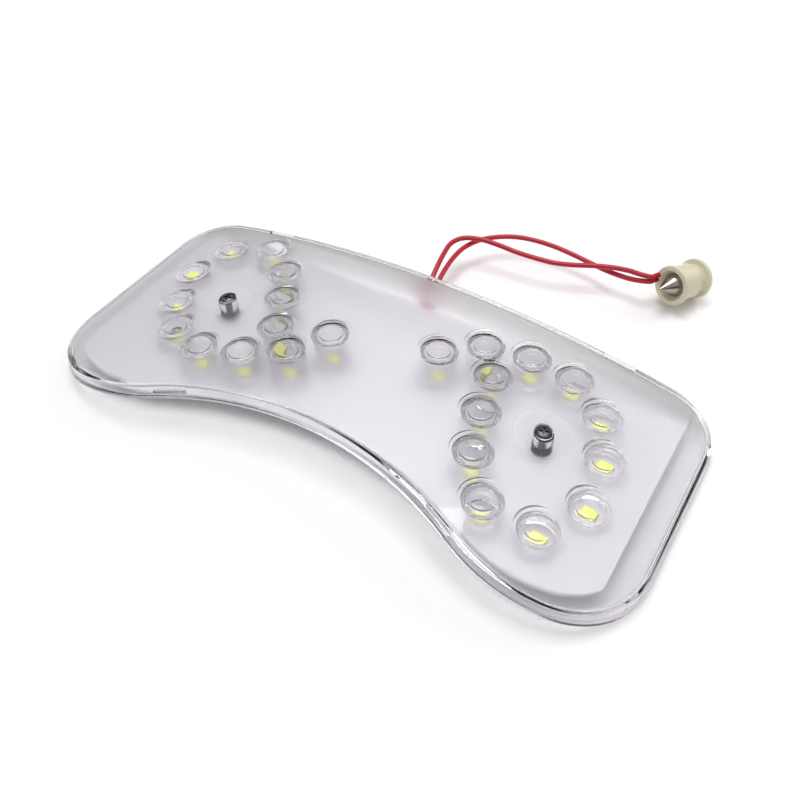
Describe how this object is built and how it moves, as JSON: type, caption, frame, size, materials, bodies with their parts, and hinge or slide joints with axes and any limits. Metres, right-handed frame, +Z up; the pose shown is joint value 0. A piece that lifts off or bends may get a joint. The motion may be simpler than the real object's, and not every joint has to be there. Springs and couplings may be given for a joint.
{
  "type": "car dome light",
  "caption": "Clear bowed dome light with lens cups over a white LED board, its leads running to a sprung festoon adapter.",
  "frame": {"origin": "middle of the cover, in the plane its two ends stand on", "axes": "+X along the cover, +Y towards its straight back edge where the leads leave, +Z up out of the lit face"},
  "size_m": [0.17, 0.1295, 0.016],
  "materials": {
    "clear_plastic": "clear moulded acrylic, polished",
    "board_white": "white solder mask, satin",
    "led_package": "white package with yellow phosphor",
    "chip_black": "moulded chip body, matt",
    "screw_steel": "zinc plated, dulled",
    "washer_black": "black nylon",
    "solder": "bright tin solder",
    "red_insulation": "red vinyl insulation, slightly glossy",
    "translucent_plastic": "cream translucent nylon",
    "contact_metal": "nickel plated, bright",
    "spring_steel": "spring steel wire"
  },
  "bodies": {
    "lamp": {"cover": "clear_plastic", "led_board": "board_white", "led_01": "led_package", "led_02": "led_package", "led_03": "led_package", "led_04": "led_package", "led_05": "led_package", "led_06": "led_package", "led_07": "led_package", "led_08": "led_package", "led_09": "led_package", "led_10": "led_package", "led_11": "led_package", "led_12": "led_package", "led_13": "led_package", "led_14": "led_package", "led_15": "led_package", "led_16": "led_package", "led_17": "led_package", "led_18": "led_package", "led_19": "led_package", "led_20": "led_package", "led_21": "led_package", "led_22": "led_package", "led_23": "led_package", "led_24": "led_package", "screw_1": "screw_steel", "screw_2": "screw_steel", "washer_1": "washer_black", "washer_2": "washer_black", "nut_1": "screw_steel", "nut_2": "screw_steel", "rectifier": "chip_black", "resistor_1": "chip_black", "resistor_2": "chip_black", "resistor_3": "chip_black", "resistor_4": "chip_black", "resistor_5": "chip_black", "resistor_6": "chip_black", "resistor_7": "chip_black", "resistor_8": "chip_black", "solder_1": "solder", "solder_2": "solder", "lead_1": "red_insulation", "lead_2": "red_insulation", "adapter_sleeve": "translucent_plastic", "contact_1": "contact_metal", "adapter_spring": "spring_steel"},
    "plunger": {"adapter_plunger": "translucent_plastic", "contact_2": "contact_metal"}
  },
  "joints": [
    {"name": "plunger_slide", "type": "slide", "parent": "lamp", "child": "plunger", "axis": [-0.4255, -0.8881, 0.1736], "range_m": [0, 0.0024], "stiffness_N_per_m": 400, "springref_m": -0.002}
  ]
}
